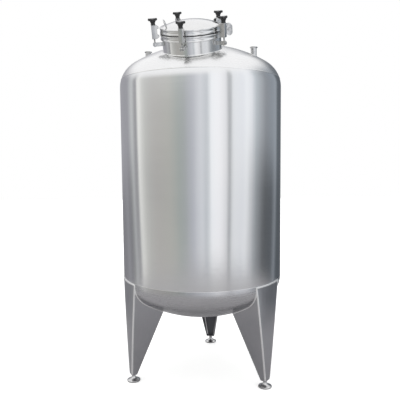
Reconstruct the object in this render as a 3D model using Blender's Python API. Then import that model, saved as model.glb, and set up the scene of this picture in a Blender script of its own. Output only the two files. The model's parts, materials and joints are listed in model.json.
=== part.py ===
# Stainless steel storage tank on three legs, with a clamped round manway on its domed top.
# Metres, +Z up. The floor is z = 0, the front faces -Y, and azimuths run from -Y towards +X.

import math

import bmesh
import bpy
from mathutils import Matrix, Vector

# The vessel
GAP = 0.0003                    # left between pieces that touch
AXIS_Y = 0.048                  # the vessel's axis stands this far back, to centre the whole on the origin
SHELL_RADIUS = 0.550
WALL = 0.003
SHELL_BOTTOM = 0.705            # the lower girth weld
SHELL_TOP = 1.990
SHELL_SEGMENTS = 8
FACETS = 48                     # of every large round
DISH_DEPTH = 0.284
KNUCKLE_RADIUS = 0.180

# The manway: a neck square to the dome, on its front slope
MANWAY_TILT = math.radians(23.0)
MANWAY_AZIMUTH = math.radians(-8.0)
NECK_RADIUS = 0.181
NECK_WALL = 0.003
NECK_INSIDE = -0.034            # heights along the manway's own axis, from the dome
COLLAR_RADIUS = 0.1905
COLLAR_BOTTOM = 0.054
COLLAR_TOP = 0.088
GASKET_RADIUS = 0.189
GASKET_BORE = 0.169
GASKET_THICKNESS = 0.005
LID_RIM_HEIGHT = 0.033
LID_RIM_BORE = 0.1685
LID_RIM_CHAMFER = 0.003
LID_DOME_RADIUS = 0.176
LID_DOME_RISE = 0.035
LID_SHEET = 0.003

# The swing clamps
CLAMP_COUNT = 5
CLAMP_FIRST = math.radians(-78.2)
CLAMP_NAMES = ("left", "front", "right", "back_right", "back_left")
CLAMP_RADIUS = 0.2275           # of the circle on which the bolts stand
CLAMP_PIN_HEIGHT = 0.029
PIN_RADIUS = 0.004
EYE_RADIUS = 0.011
EYE_WIDTH = 0.008
BOLT_RADIUS = 0.005
RUNNING_CLEARANCE = 0.0006      # round pins and bolts in their holes
LUG_THICKNESS = 0.004
LUG_HALF_HEIGHT = 0.011
LUG_END = 0.007                 # beyond the pin's middle
CLAW_WIDTH = 0.027
CLAW_SHEET = 0.003
CLAW_INNER = -0.031             # from the bolt, inwards to 6 mm off the lid
CLAW_OUTER = 0.013
CLAW_SHOULDER = -0.017          # where the jaws start to slope
CLAW_BOTTOM = 0.034             # from the pin
CLAW_TOP = 0.113
WASHER_RADIUS = 0.0125
WASHER_THICKNESS = 0.0015
KNOB_BOTTOM = CLAW_TOP + WASHER_THICKNESS + GAP
KNOB_HUB_RADIUS = 0.0145
KNOB_STAR_BOTTOM = 0.136
KNOB_TOP = 0.153
KNOB_STAR_RADIUS = 0.031
KNOB_LOBES = 3
BOLT_TOP = 0.142

# The lid's hinge and handle
HINGE_AZIMUTH = CLAMP_FIRST + math.pi
HINGE_RADIUS = 0.232
HINGE_HEIGHT = 0.087
HINGE_PIN_RADIUS = 0.005
HINGE_EAR_THICKNESS = 0.005
HINGE_EAR_OFFSET = 0.009        # of the neck's ears, from the middle to their inner faces
HINGE_PLATE_OFFSET = 0.0195     # of the lid's plates, outside the ears
HINGE_EAR_END = 0.016
HINGE_PLATE_END = 0.019
HINGE_PLATE_HALF_HEIGHT = 0.034
HANDLE_AZIMUTH = HINGE_AZIMUTH + math.pi
HANDLE_RADIUS = 0.150
HANDLE_LEAN = 0.012
HANDLE_SPAN = 0.085
HANDLE_TOP = 0.163
HANDLE_ROD = 0.004

# Ferrules: a clamp flange on a short tube
FERRULE_TUBE = 0.019
FERRULE_WALL = 0.0016
FERRULE_FLANGE = 0.02525
FERRULE_FLANGE_THICKNESS = 0.0064
FERRULE_LENGTH = 0.050
FERRULE_FACETS = 16
OUTLET_LENGTH = 0.036
FERRULE_INSIDE = 0.030          # far enough in to pass the sloping wall
RIGHT_FERRULE = (0.350, -0.175)
LEFT_FERRULE = (-0.358, 0.015)

# Legs, folded from sheet, and their levelling feet
LEG_AZIMUTHS = {"left": math.radians(-67.3), "right": math.radians(52.7), "back": math.radians(172.7)}
LEG_SHEET = 0.004
LEG_TOP = 0.698
LEG_BOTTOM = 0.050
LEG_TOP_HALF_WIDTH = 0.137
LEG_BOTTOM_HALF_WIDTH = 0.030
LEG_TOP_RADIUS = 0.5515
LEG_BOTTOM_RADIUS = 0.537
LEG_TOP_REACH = 0.245           # the flanges' inner edges, from the vessel's axis
LEG_BOTTOM_REACH = 0.499
LEG_STEPS = 6
SOLE_THICKNESS = 0.006
FOOT_CIRCLE = 0.515
FOOT_FACETS = 24
FOOT_RADIUS = 0.045
STEM_RADIUS = 0.012

# The head's crown and knuckle meet on this circle
CROWN_RADIUS = ((SHELL_RADIUS - KNUCKLE_RADIUS) ** 2 + DISH_DEPTH**2 - KNUCKLE_RADIUS**2) / (
    2 * (DISH_DEPTH - KNUCKLE_RADIUS)
)
CROWN_CENTRE = DISH_DEPTH - CROWN_RADIUS     # below the head's rim
CROWN_ANGLE = math.atan2(SHELL_RADIUS - KNUCKLE_RADIUS, -CROWN_CENTRE)
KNUCKLE_STEPS = 4
CROWN_STEPS = 4


def head_outline(offset):
    """Points (radius, height above the rim) from the rim to the crown's top, moved out by offset."""
    points = []
    for step in range(KNUCKLE_STEPS):
        angle = step / KNUCKLE_STEPS * (math.pi / 2 - CROWN_ANGLE)
        reach = KNUCKLE_RADIUS + offset
        points.append((SHELL_RADIUS - KNUCKLE_RADIUS + reach * math.cos(angle), reach * math.sin(angle)))
    for step in range(CROWN_STEPS + 1):
        angle = CROWN_ANGLE * (1 - step / CROWN_STEPS)
        reach = CROWN_RADIUS + offset
        points.append((reach * math.sin(angle), CROWN_CENTRE + reach * math.cos(angle)))
    return points


def finish(name, colour, metallic, roughness):
    """A Principled material of one colour."""
    material = bpy.data.materials.new(name)
    material.use_nodes = True
    shader = material.node_tree.nodes["Principled BSDF"]
    shader.inputs["Base Color"].default_value = (*colour, 1.0)
    shader.inputs["Metallic"].default_value = metallic
    shader.inputs["Roughness"].default_value = roughness
    return material


def mesh_of(shape):
    """The bmesh as a mesh with its normals facing out."""
    bmesh.ops.recalc_face_normals(shape, faces=shape.faces)
    mesh = bpy.data.meshes.new("shape")
    shape.to_mesh(mesh)
    shape.free()
    return mesh


def turned(profile, facets=FACETS, start=0.0, sweep=2 * math.pi):
    """A closed profile of (radius, height) turned about Z, all the way or with flat ends."""
    whole = sweep >= 2 * math.pi
    shape = bmesh.new()
    rings = []
    for step in range(facets if whole else facets + 1):
        angle = start + sweep * step / facets
        rings.append([shape.verts.new((r * math.sin(angle), -r * math.cos(angle), z)) for r, z in profile])
    pairs = zip(rings, rings[1:] + rings[:1]) if whole else zip(rings, rings[1:])
    for one, other in pairs:
        for corner in range(len(profile)):
            after = (corner + 1) % len(profile)
            if profile[corner][0] == 0 and profile[after][0] == 0:
                continue
            shape.faces.new((one[corner], other[corner], other[after], one[after]))
    if not whole:
        shape.faces.new(rings[0])
        shape.faces.new(rings[-1])
    bmesh.ops.remove_doubles(shape, verts=shape.verts, dist=1e-6)
    bmesh.ops.dissolve_degenerate(shape, edges=shape.edges, dist=1e-6)
    return mesh_of(shape)


def prism(outline, low, high):
    """An outline of (x, y) points raised from low to high along Z."""
    shape = bmesh.new()
    base = [shape.verts.new((x, y, low)) for x, y in outline]
    raised = bmesh.ops.extrude_face_region(shape, geom=[shape.faces.new(base)])["geom"]
    lifted = [item for item in raised if isinstance(item, bmesh.types.BMVert)]
    bmesh.ops.translate(shape, verts=lifted, vec=(0, 0, high - low))
    return mesh_of(shape)


def block(x_range, y_range, z_range):
    """A box between two values on each axis."""
    left, right = x_range
    front, back = y_range
    return prism([(left, front), (right, front), (right, back), (left, back)], *z_range)


def circle(radius, facets):
    """Points of a circle about the origin, with a flat towards each axis."""
    turns = [2 * math.pi * (step + 0.5) / facets for step in range(facets)]
    return [(radius * math.cos(turn), radius * math.sin(turn)) for turn in turns]


def joined(solids, cuts=()):
    """One closed mesh: the solids united, less the cuts."""
    helpers = []
    for mesh in (*solids, *cuts):
        helper = bpy.data.objects.new("helper", mesh)
        bpy.context.collection.objects.link(helper)
        helpers.append(helper)
    for index, other in enumerate(helpers[1:], 1):
        step = helpers[0].modifiers.new("join" if index < len(solids) else "cut", "BOOLEAN")
        step.operation = "UNION" if index < len(solids) else "DIFFERENCE"
        step.object = other
    bpy.context.view_layer.update()
    graph = bpy.context.evaluated_depsgraph_get()
    mesh = bpy.data.meshes.new_from_object(helpers[0].evaluated_get(graph))
    for helper in helpers:
        bpy.data.objects.remove(helper)
    return mesh


def add(name, mesh, material, parent, angle=math.radians(30)):
    """A named object with the mesh, shaded smooth but for its sharp edges."""
    mesh.materials.clear()
    mesh.materials.append(material)
    mesh.shade_smooth()
    mesh.set_sharp_from_angle(angle=angle)
    obj = bpy.data.objects.new(name, mesh)
    bpy.context.collection.objects.link(obj)
    obj.parent = parent
    return obj


def empty(name, matrix, parent=None):
    """An empty that carries other pieces."""
    obj = bpy.data.objects.new(name, None)
    bpy.context.collection.objects.link(obj)
    obj.parent = parent
    obj.matrix_local = matrix
    return obj


def clear_scene():
    for obj in list(bpy.data.objects):
        bpy.data.objects.remove(obj, do_unlink=True)


def manway_matrix():
    """The manway's frame: its origin on the dome, X to the right, Y to the back, Z out along the neck."""
    tilt, turn = MANWAY_TILT, MANWAY_AZIMUTH
    out = Vector((math.sin(tilt) * math.sin(turn), -math.sin(tilt) * math.cos(turn), math.cos(tilt)))
    right = Vector((math.cos(turn), math.sin(turn), 0))
    back = out.cross(right)
    centre = Vector((0, 0, SHELL_TOP + CROWN_CENTRE)) + CROWN_RADIUS * out
    matrix = Matrix((right, back, out)).transposed().to_4x4()
    matrix.translation = centre
    return matrix


def place_on_circle(azimuth, radius, height):
    """A frame on the manway's side: X outwards, Y along the rim, Z along the neck."""
    place = Matrix.Translation((radius * math.sin(azimuth), -radius * math.cos(azimuth), height))
    return place @ Matrix.Rotation(azimuth - math.pi / 2, 4, "Z")


def plate_between(outline, low, high):
    """A plate with its outline in X and Z, from low to high along Y."""
    plate = prism(outline, -high, -low)
    plate.transform(Matrix.Rotation(math.pi / 2, 4, "X"))
    return plate


def make_shell(steel, axis):
    low = SHELL_BOTTOM + GAP / 2
    high = SHELL_TOP - GAP / 2
    inside = SHELL_RADIUS - WALL
    profile = [(SHELL_RADIUS, low), (SHELL_RADIUS, high), (inside, high), (inside, low)]
    sweep = 2 * math.pi / SHELL_SEGMENTS
    slit = GAP / SHELL_RADIUS
    for number in range(SHELL_SEGMENTS):
        start = number * sweep + slit / 2
        segment = turned(profile, FACETS // SHELL_SEGMENTS, start, sweep - slit)
        add(f"shell_segment_{number + 1}", segment, steel, axis)


def head_profile(rim, direction):
    """The closed profile of a dished head, up or down from its rim."""
    outer = head_outline(0)
    inner = head_outline(-WALL)
    return [(r if r > 1e-6 else 0, rim + direction * z) for r, z in outer + inner[::-1]]


def bore_cutter(radius, low, high, facets):
    return turned([(0, low), (radius, low), (radius, high), (0, high)], facets)


def make_heads(steel, axis):
    neck_hole = bore_cutter(NECK_RADIUS + GAP, -0.2, 0.2, FACETS)
    neck_hole.transform(manway_matrix())
    cuts = [neck_hole]
    for x, y in (RIGHT_FERRULE, LEFT_FERRULE):
        hole = bore_cutter(FERRULE_TUBE + GAP, SHELL_TOP, SHELL_TOP + 0.4, FERRULE_FACETS)
        hole.transform(Matrix.Translation((x, y, 0)))
        cuts.append(hole)
    top = joined([turned(head_profile(SHELL_TOP + GAP / 2, 1))], cuts)
    add("top_dish", top, steel, axis)
    drain = bore_cutter(FERRULE_TUBE + GAP, SHELL_BOTTOM - 0.4, SHELL_BOTTOM, FERRULE_FACETS)
    bottom = joined([turned(head_profile(SHELL_BOTTOM - GAP / 2, -1))], [drain])
    add("bottom_dish", bottom, steel, axis)


def ferrule_mesh(length, inside):
    """A ferrule on the origin, its flange's face at length, its tube reaching inside below the origin."""
    bore = FERRULE_TUBE - FERRULE_WALL
    flange_low = length - FERRULE_FLANGE_THICKNESS
    profile = [
        (bore, -inside),
        (FERRULE_TUBE, -inside),
        (FERRULE_TUBE, flange_low),
        (FERRULE_FLANGE, flange_low + 0.0025),
        (FERRULE_FLANGE, length),
        (bore, length),
    ]
    return turned(profile, FERRULE_FACETS)


def dome_height(x, y):
    """Height of the crown's outer face over a point."""
    return SHELL_TOP + CROWN_CENTRE + math.sqrt(CROWN_RADIUS**2 - x * x - y * y)


def make_ferrules(steel, axis):
    mesh = ferrule_mesh(FERRULE_LENGTH, FERRULE_INSIDE)
    for side, (x, y) in (("right", RIGHT_FERRULE), ("left", LEFT_FERRULE)):
        ferrule = add(f"{side}_ferrule", mesh, steel, axis)
        ferrule.location = (x, y, dome_height(x, y))
    outlet = add("bottom_outlet", ferrule_mesh(OUTLET_LENGTH, WALL + 0.002), steel, axis)
    outlet.location = (0, 0, SHELL_BOTTOM - DISH_DEPTH)
    outlet.rotation_euler = (math.pi, 0, 0)


def leg_section(height):
    """Corners of the folded sheet at a height: outwards is -Y, along the shell is X."""
    share = (height - LEG_BOTTOM) / (LEG_TOP - LEG_BOTTOM)
    half = LEG_BOTTOM_HALF_WIDTH + share * (LEG_TOP_HALF_WIDTH - LEG_BOTTOM_HALF_WIDTH)
    radius = LEG_BOTTOM_RADIUS + share * (LEG_TOP_RADIUS - LEG_BOTTOM_RADIUS)
    reach = LEG_BOTTOM_REACH + share * (LEG_TOP_REACH - LEG_BOTTOM_REACH)
    corners = []
    for side, inset in ((1, 0.0), (-1, LEG_SHEET)):
        wide = half - inset
        turn = math.asin(wide / (radius - inset))
        arc = [turn * (2 * step / LEG_STEPS - 1) for step in range(LEG_STEPS + 1)]
        face = [((radius - inset) * math.sin(a), -(radius - inset) * math.cos(a)) for a in arc]
        corners += [(-wide, -reach), *face, (wide, -reach)][::side]
    return [Vector((x, y, height)) for x, y in corners]


def leg_channel():
    shape = bmesh.new()
    levels = [LEG_BOTTOM + (LEG_TOP - LEG_BOTTOM) * step / LEG_STEPS for step in range(LEG_STEPS + 1)]
    rings = [[shape.verts.new(point) for point in leg_section(level)] for level in levels]
    for lower, upper in zip(rings, rings[1:]):
        for corner in range(len(lower)):
            after = (corner + 1) % len(lower)
            shape.faces.new((lower[corner], lower[after], upper[after], upper[corner]))
    shape.faces.new(rings[0])
    shape.faces.new(rings[-1])
    return mesh_of(shape)


def make_legs(steel, axis):
    half = LEG_BOTTOM_HALF_WIDTH - LEG_SHEET / 2
    sole = block(
        (-half, half),
        (LEG_SHEET / 2 - LEG_BOTTOM_RADIUS, -LEG_BOTTOM_REACH - 0.001),
        (LEG_BOTTOM + 0.001, LEG_BOTTOM + 0.001 + SOLE_THICKNESS),
    )
    outer = head_outline(GAP)
    outer[-1] = (0, outer[-1][1])
    head = [(0, SHELL_BOTTOM + 0.1), (outer[0][0], SHELL_BOTTOM + 0.1)]
    head += [(r, SHELL_BOTTOM - z) for r, z in outer]
    leg = joined([leg_channel(), sole], [turned(head)])
    foot = turned(
        [
            (0, 0),
            (FOOT_RADIUS - 0.002, 0),
            (FOOT_RADIUS, 0.003),
            (FOOT_RADIUS, 0.010),
            (0.034, 0.0155),
            (0.018, 0.021),
            (0.0135, 0.028),
            (STEM_RADIUS, 0.034),
            (STEM_RADIUS, LEG_BOTTOM + 0.001 - GAP),
            (0, LEG_BOTTOM + 0.001 - GAP),
        ],
        FOOT_FACETS,
    )
    for side, azimuth in LEG_AZIMUTHS.items():
        add(f"{side}_leg", leg, steel, axis).rotation_euler = (0, 0, azimuth)
        at = (FOOT_CIRCLE * math.sin(azimuth), -FOOT_CIRCLE * math.cos(azimuth), 0)
        add(f"{side}_foot", foot, steel, axis).location = at


def make_neck(steel, rubber, manway):
    bore = NECK_RADIUS - NECK_WALL
    neck = [
        (bore, NECK_INSIDE),
        (NECK_RADIUS, NECK_INSIDE),
        (NECK_RADIUS, COLLAR_BOTTOM),
        (COLLAR_RADIUS, COLLAR_BOTTOM),
        (COLLAR_RADIUS, COLLAR_TOP),
        (bore, COLLAR_TOP),
    ]
    add("manway_neck", turned(neck), steel, manway)
    low = COLLAR_TOP + GAP
    high = low + GASKET_THICKNESS
    gasket = [(GASKET_BORE, low), (GASKET_RADIUS, low), (GASKET_RADIUS, high), (GASKET_BORE, high)]
    add("manway_gasket", turned(gasket), rubber, manway)


def lid_dome(radius, base, rise, steps=5):
    """Points of a shallow dome from its edge to its top."""
    ball = (radius**2 + rise**2) / (2 * rise)
    edge = math.asin(radius / ball)
    turns = [edge * (1 - step / steps) for step in range(steps + 1)]
    return [(ball * math.sin(a), base + rise - ball + ball * math.cos(a)) for a in turns]


def make_lid(steel, manway):
    low = COLLAR_TOP + 2 * GAP + GASKET_THICKNESS
    high = low + LID_RIM_HEIGHT
    outer = lid_dome(LID_DOME_RADIUS, high, LID_DOME_RISE)
    inner = lid_dome(LID_RIM_BORE, high - LID_SHEET, LID_DOME_RISE)
    profile = [(LID_RIM_BORE, low), (COLLAR_RADIUS, low), (COLLAR_RADIUS, high - LID_RIM_CHAMFER)]
    profile += [(COLLAR_RADIUS - LID_RIM_CHAMFER, high), *outer, *inner[::-1]]
    add("manway_lid", turned([(r if r > 1e-6 else 0, z) for r, z in profile]), steel, manway)
    add_handle(steel, manway, high)


def add_handle(steel, manway, rim_top):
    """A bent rod over the edge of the lid's dome, leaning outwards."""
    nearest = math.hypot(HANDLE_RADIUS - HANDLE_ROD, HANDLE_SPAN / 2 - HANDLE_ROD)
    ball = (LID_DOME_RADIUS**2 + LID_DOME_RISE**2) / (2 * LID_DOME_RISE)
    foot = rim_top + LID_DOME_RISE - ball + math.sqrt(ball**2 - nearest**2) + GAP
    corner = 0.014
    route = []
    for side in (-1, 1):
        leg = [(side * HANDLE_SPAN / 2, 0.0)]
        for step in range(5):
            turn = math.pi / 2 * step / 4
            across = HANDLE_SPAN / 2 - corner * (1 - math.cos(turn))
            leg.append((side * across, HANDLE_TOP - foot - corner + corner * math.sin(turn)))
        route += leg if side < 0 else leg[::-1]
    curve = bpy.data.curves.new("lid_handle", "CURVE")
    curve.dimensions = "3D"
    curve.bevel_depth = HANDLE_ROD
    curve.bevel_resolution = 1
    curve.use_fill_caps = True
    spline = curve.splines.new("POLY")
    spline.points.add(len(route) - 1)
    for point, (along, up) in zip(spline.points, route):
        lean = HANDLE_LEAN * up / (HANDLE_TOP - foot)
        point.co = (lean, along, up, 1)
    curve.materials.append(steel)
    handle = bpy.data.objects.new("lid_handle", curve)
    bpy.context.collection.objects.link(handle)
    handle.parent = manway
    handle.matrix_local = place_on_circle(HANDLE_AZIMUTH, HANDLE_RADIUS, foot)


def lozenge(radius, half_height, steps=5):
    """An upright plate outline with round ends, about the origin."""
    points = []
    straight = half_height - radius
    for end in (1, -1):
        for step in range(steps + 1):
            turn = math.pi * step / steps
            points.append((end * radius * math.cos(turn), end * (straight + radius * math.sin(turn))))
    return points


def make_hinge(steel, manway):
    rim = COLLAR_RADIUS + GAP - HINGE_RADIUS
    frame = place_on_circle(HINGE_AZIMUTH, HINGE_RADIUS, HINGE_HEIGHT)
    far = HINGE_EAR_OFFSET + HINGE_EAR_THICKNESS
    # On the neck: two ears on a pad, with the pin through them
    ear = [(rim + 0.001, COLLAR_BOTTOM + 0.004 - HINGE_HEIGHT), (0, -HINGE_EAR_END), (HINGE_EAR_END, 0)]
    ear += [(0, HINGE_EAR_END), (-HINGE_EAR_END, 0.0), (rim + 0.001, COLLAR_TOP - 0.006 - HINGE_HEIGHT)]
    pad_heights = (COLLAR_BOTTOM + 0.003 - HINGE_HEIGHT, COLLAR_TOP - 0.005 - HINGE_HEIGHT)
    pad = block((rim, rim + 0.006), (-far - 0.001, far + 0.001), pad_heights)
    pin_reach = HINGE_PLATE_OFFSET + HINGE_EAR_THICKNESS + 0.006
    pin = plate_between(circle(HINGE_PIN_RADIUS, 12), -pin_reach, pin_reach)
    ears = [plate_between(ear, HINGE_EAR_OFFSET, far), plate_between(ear, -far, -HINGE_EAR_OFFSET)]
    add("hinge_bracket", joined([pad, *ears, pin]), steel, manway).matrix_local = frame
    # On the lid: two outer plates on a bridge
    low = COLLAR_TOP + 2 * GAP + GASKET_THICKNESS + 0.004 - HINGE_HEIGHT
    high = low + LID_RIM_HEIGHT - 0.010
    outside = HINGE_PLATE_OFFSET + HINGE_EAR_THICKNESS
    bridge = block((rim, rim + 0.008), (-outside, outside), (low, high))
    hole = plate_between(circle(HINGE_PIN_RADIUS + RUNNING_CLEARANCE, 12), -0.1, 0.1)
    round_end = lozenge(HINGE_PLATE_END, HINGE_PLATE_HALF_HEIGHT)
    solids = [bridge]
    for near, away in ((HINGE_PLATE_OFFSET, outside), (-outside, -HINGE_PLATE_OFFSET)):
        solids.append(plate_between(round_end, near, away))
        solids.append(block((rim + 0.001, 0), (near + 0.0005, away - 0.0005), (low + 0.001, high - 0.001)))
    add("lid_hinge_arm", joined(solids, [hole]), steel, manway).matrix_local = frame


def lug_mesh():
    """Two ears on the neck with the clamp's pin between them."""
    root = NECK_RADIUS + GAP - CLAMP_RADIUS
    near = EYE_WIDTH / 2 + 0.001
    far = near + LUG_THICKNESS
    pad = block((root, root + 0.005), (-far - 0.001, far + 0.001), (-LUG_HALF_HEIGHT, LUG_HALF_HEIGHT))
    ear = [(root + 0.001, 0.001 - LUG_HALF_HEIGHT), (0.002, -LUG_END), (LUG_END, -0.003), (LUG_END, 0.003)]
    ear += [(0.002, LUG_END), (root + 0.001, LUG_HALF_HEIGHT - 0.001)]
    pin = plate_between(circle(PIN_RADIUS, 10), -far - 0.001, far + 0.001)
    return joined([pad, plate_between(ear, near, far), plate_between(ear, -far, -near), pin])


def swing_bolt_mesh():
    """A rod that ends in an eye round the pin."""
    rod = prism(circle(BOLT_RADIUS, 10), 0.006, BOLT_TOP)
    eye = plate_between(circle(EYE_RADIUS, 16), -EYE_WIDTH / 2, EYE_WIDTH / 2)
    hole = plate_between(circle(PIN_RADIUS + RUNNING_CLEARANCE, 10), -0.05, 0.05)
    return joined([rod, eye], [hole])


def claw_mesh():
    """An upright channel over the bolt, its jaws towards the lid: two cheeks, a web, a top plate and a washer."""
    half = CLAW_WIDTH / 2
    cheek = [
        (CLAW_SHOULDER, CLAW_BOTTOM),
        (CLAW_OUTER, CLAW_BOTTOM),
        (CLAW_OUTER, CLAW_TOP - 0.001),
        (CLAW_SHOULDER, CLAW_TOP - 0.001),
        (CLAW_INNER, CLAW_TOP - 0.010),
        (CLAW_INNER, CLAW_BOTTOM + 0.010),
    ]
    cheeks = [plate_between(cheek, half - CLAW_SHEET, half), plate_between(cheek, -half, CLAW_SHEET - half)]
    inside = half - CLAW_SHEET / 2
    face = CLAW_OUTER - 0.0005
    web = block((face - CLAW_SHEET, face), (-inside, inside), (CLAW_BOTTOM + 0.001, CLAW_TOP - 0.002))
    top = block((CLAW_SHOULDER + 0.001, CLAW_OUTER - 0.001), (-inside, inside), (CLAW_TOP - 0.004, CLAW_TOP))
    washer = prism(circle(WASHER_RADIUS, 16), CLAW_TOP - 0.001, CLAW_TOP + WASHER_THICKNESS)
    hole = prism(circle(BOLT_RADIUS + RUNNING_CLEARANCE, 10), CLAW_TOP - 0.01, CLAW_TOP + 0.01)
    return joined([*cheeks, web, top, washer], [hole])


def knob_mesh():
    """A three-lobed knob on a long hub, with a blind bore for the bolt's end."""
    hub = turned(
        [
            (0, KNOB_BOTTOM),
            (KNOB_HUB_RADIUS - 0.001, KNOB_BOTTOM),
            (KNOB_HUB_RADIUS, KNOB_BOTTOM + 0.003),
            (KNOB_HUB_RADIUS - 0.001, KNOB_STAR_BOTTOM + 0.004),
            (0, KNOB_STAR_BOTTOM + 0.004),
        ],
        12,
    )
    outline = []
    steps = 24
    for step in range(steps):
        turn = 2 * math.pi * step / steps
        reach = KNOB_STAR_RADIUS * (0.76 + 0.24 * math.cos(KNOB_LOBES * turn))
        outline.append((reach * math.cos(turn), reach * math.sin(turn)))
    shape = bmesh.new()
    levels = [(KNOB_STAR_BOTTOM, 0.62), (KNOB_STAR_BOTTOM + 0.007, 0.97), (KNOB_TOP - 0.004, 1.0)]
    levels.append((KNOB_TOP, 0.80))
    rings = [[shape.verts.new((x * grow, y * grow, z)) for x, y in outline] for z, grow in levels]
    for lower, upper in zip(rings, rings[1:]):
        for corner in range(steps):
            after = (corner + 1) % steps
            shape.faces.new((lower[corner], lower[after], upper[after], upper[corner]))
    shape.faces.new(rings[0])
    shape.faces.new(rings[-1])
    bore = prism(circle(BOLT_RADIUS + RUNNING_CLEARANCE, 10), KNOB_BOTTOM - 0.01, BOLT_TOP + 0.002)
    return joined([mesh_of(shape), hub], [bore])


def make_clamps(steel, plastic, manway):
    lug, bolt, claw, knob = lug_mesh(), swing_bolt_mesh(), claw_mesh(), knob_mesh()
    for number, side in enumerate(CLAMP_NAMES):
        azimuth = CLAMP_FIRST + number * 2 * math.pi / CLAMP_COUNT
        frame = place_on_circle(azimuth, CLAMP_RADIUS, CLAMP_PIN_HEIGHT)
        add(f"{side}_lug", lug, steel, manway).matrix_local = frame
        pin = empty(f"{side}_pin", frame, manway)
        add(f"{side}_swing_bolt", bolt, steel, pin)
        add(f"{side}_claw", claw, steel, pin)
        add(f"{side}_knob", knob, plastic, pin, math.radians(50))


def main():
    clear_scene()
    steel = finish("stainless steel", (0.62, 0.62, 0.60), 1.0, 0.28)
    rubber = finish("gasket rubber", (0.03, 0.03, 0.03), 0.0, 0.6)
    plastic = finish("black plastic", (0.012, 0.012, 0.013), 0.0, 0.35)
    axis = empty("vessel_axis", Matrix.Translation((0, AXIS_Y, 0)))
    manway = empty("manway_axis", manway_matrix(), axis)
    make_shell(steel, axis)
    make_heads(steel, axis)
    make_ferrules(steel, axis)
    make_legs(steel, axis)
    make_neck(steel, rubber, manway)
    make_lid(steel, manway)
    make_hinge(steel, manway)
    make_clamps(steel, plastic, manway)


main()
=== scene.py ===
import json
import math

import bmesh
import bpy
from mathutils import Matrix, Vector


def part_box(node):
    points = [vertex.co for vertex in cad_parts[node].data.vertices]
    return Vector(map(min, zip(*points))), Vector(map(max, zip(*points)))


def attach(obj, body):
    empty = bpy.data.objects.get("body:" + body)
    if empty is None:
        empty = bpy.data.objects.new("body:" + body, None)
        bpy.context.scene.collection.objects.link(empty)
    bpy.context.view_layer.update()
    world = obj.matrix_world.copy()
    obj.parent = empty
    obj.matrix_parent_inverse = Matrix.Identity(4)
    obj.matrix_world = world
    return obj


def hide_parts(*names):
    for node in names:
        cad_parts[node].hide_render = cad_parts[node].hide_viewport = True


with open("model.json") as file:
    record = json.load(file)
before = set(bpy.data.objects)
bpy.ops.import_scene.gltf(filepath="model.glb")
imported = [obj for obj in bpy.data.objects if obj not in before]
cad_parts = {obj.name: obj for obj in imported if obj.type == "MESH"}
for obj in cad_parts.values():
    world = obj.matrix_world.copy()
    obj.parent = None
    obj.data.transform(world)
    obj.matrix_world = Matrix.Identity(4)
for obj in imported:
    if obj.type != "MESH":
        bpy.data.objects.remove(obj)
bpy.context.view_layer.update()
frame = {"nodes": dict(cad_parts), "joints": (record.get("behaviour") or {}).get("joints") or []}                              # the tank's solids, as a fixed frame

joints = {joint["name"]: joint for joint in frame["joints"]}
print("frame loaded,", len(frame["nodes"]), "nodes")


# Selecting, opening and finishing a piece

def selectOnly(piece):
    bpy.ops.object.select_all(action="DESELECT")
    piece.select_set(True)
    bpy.context.view_layer.objects.active = piece


def openMesh(piece, mode="FACE"):
    selectOnly(piece)
    bpy.ops.object.mode_set(mode="EDIT")
    bpy.ops.mesh.select_mode(type=mode)
    bpy.ops.mesh.select_all(action="DESELECT")


def closeMesh():
    bpy.ops.object.mode_set(mode="OBJECT")


def pickFaces(piece, wanted):                  # by a face's middle and normal
    bpy.ops.mesh.select_mode(type="FACE")
    bpy.ops.mesh.select_all(action="DESELECT")
    for face in bmesh.from_edit_mesh(piece.data).faces:
        if wanted(face.calc_center_median(), face.normal):
            face.select_set(True)
    bmesh.update_edit_mesh(piece.data)


def pickEdges(piece, wanted):                  # by the places of an edge's two ends
    bpy.ops.mesh.select_mode(type="EDGE")
    bpy.ops.mesh.select_all(action="DESELECT")
    for edge in bmesh.from_edit_mesh(piece.data).edges:
        if wanted(edge.verts[0].co, edge.verts[1].co):
            edge.select_set(True)
    bmesh.update_edit_mesh(piece.data)


def useModifier(piece, kind, **settings):
    selectOnly(piece)
    modifier = piece.modifiers.new(kind, kind)
    for name, value in settings.items():
        setattr(modifier, name, value)
    bpy.ops.object.modifier_apply(modifier=modifier.name)


def softenEdges(piece, width, segments=2, angle=35):
    useModifier(piece, "BEVEL", width=width, segments=segments, limit_method="ANGLE",
                angle_limit=math.radians(angle), harden_normals=False)


def cutWith(piece, cutter, operation="DIFFERENCE"):
    useModifier(piece, "BOOLEAN", operation=operation, object=cutter, solver="EXACT")
    bpy.data.objects.remove(cutter)


def joinPieces(name, pieces):
    bpy.ops.object.select_all(action="DESELECT")
    for piece in pieces:
        piece.select_set(True)
    bpy.context.view_layer.objects.active = pieces[0]
    bpy.ops.object.join()
    joined = bpy.context.object
    joined.name = name
    return joined


def applyPlace(piece):
    selectOnly(piece)
    bpy.ops.object.transform_apply(location=True, rotation=True, scale=True)


def copyPiece(piece, name):                    # a copy with its own mesh
    selectOnly(piece)
    bpy.ops.object.duplicate()
    copy = bpy.context.object
    copy.name = name
    return copy


def settle(piece, place, body, material, replaced=(), angle=35):
    piece.matrix_world = place @ piece.matrix_world
    applyPlace(piece)
    bpy.ops.object.shade_smooth_by_angle(angle=math.radians(angle))
    piece.data.name = piece.name
    piece.data.materials.clear()
    piece.data.materials.append(material)
    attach(piece, body)
    if replaced:
        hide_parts(*replaced)
    return piece


# Making shapes

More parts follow.
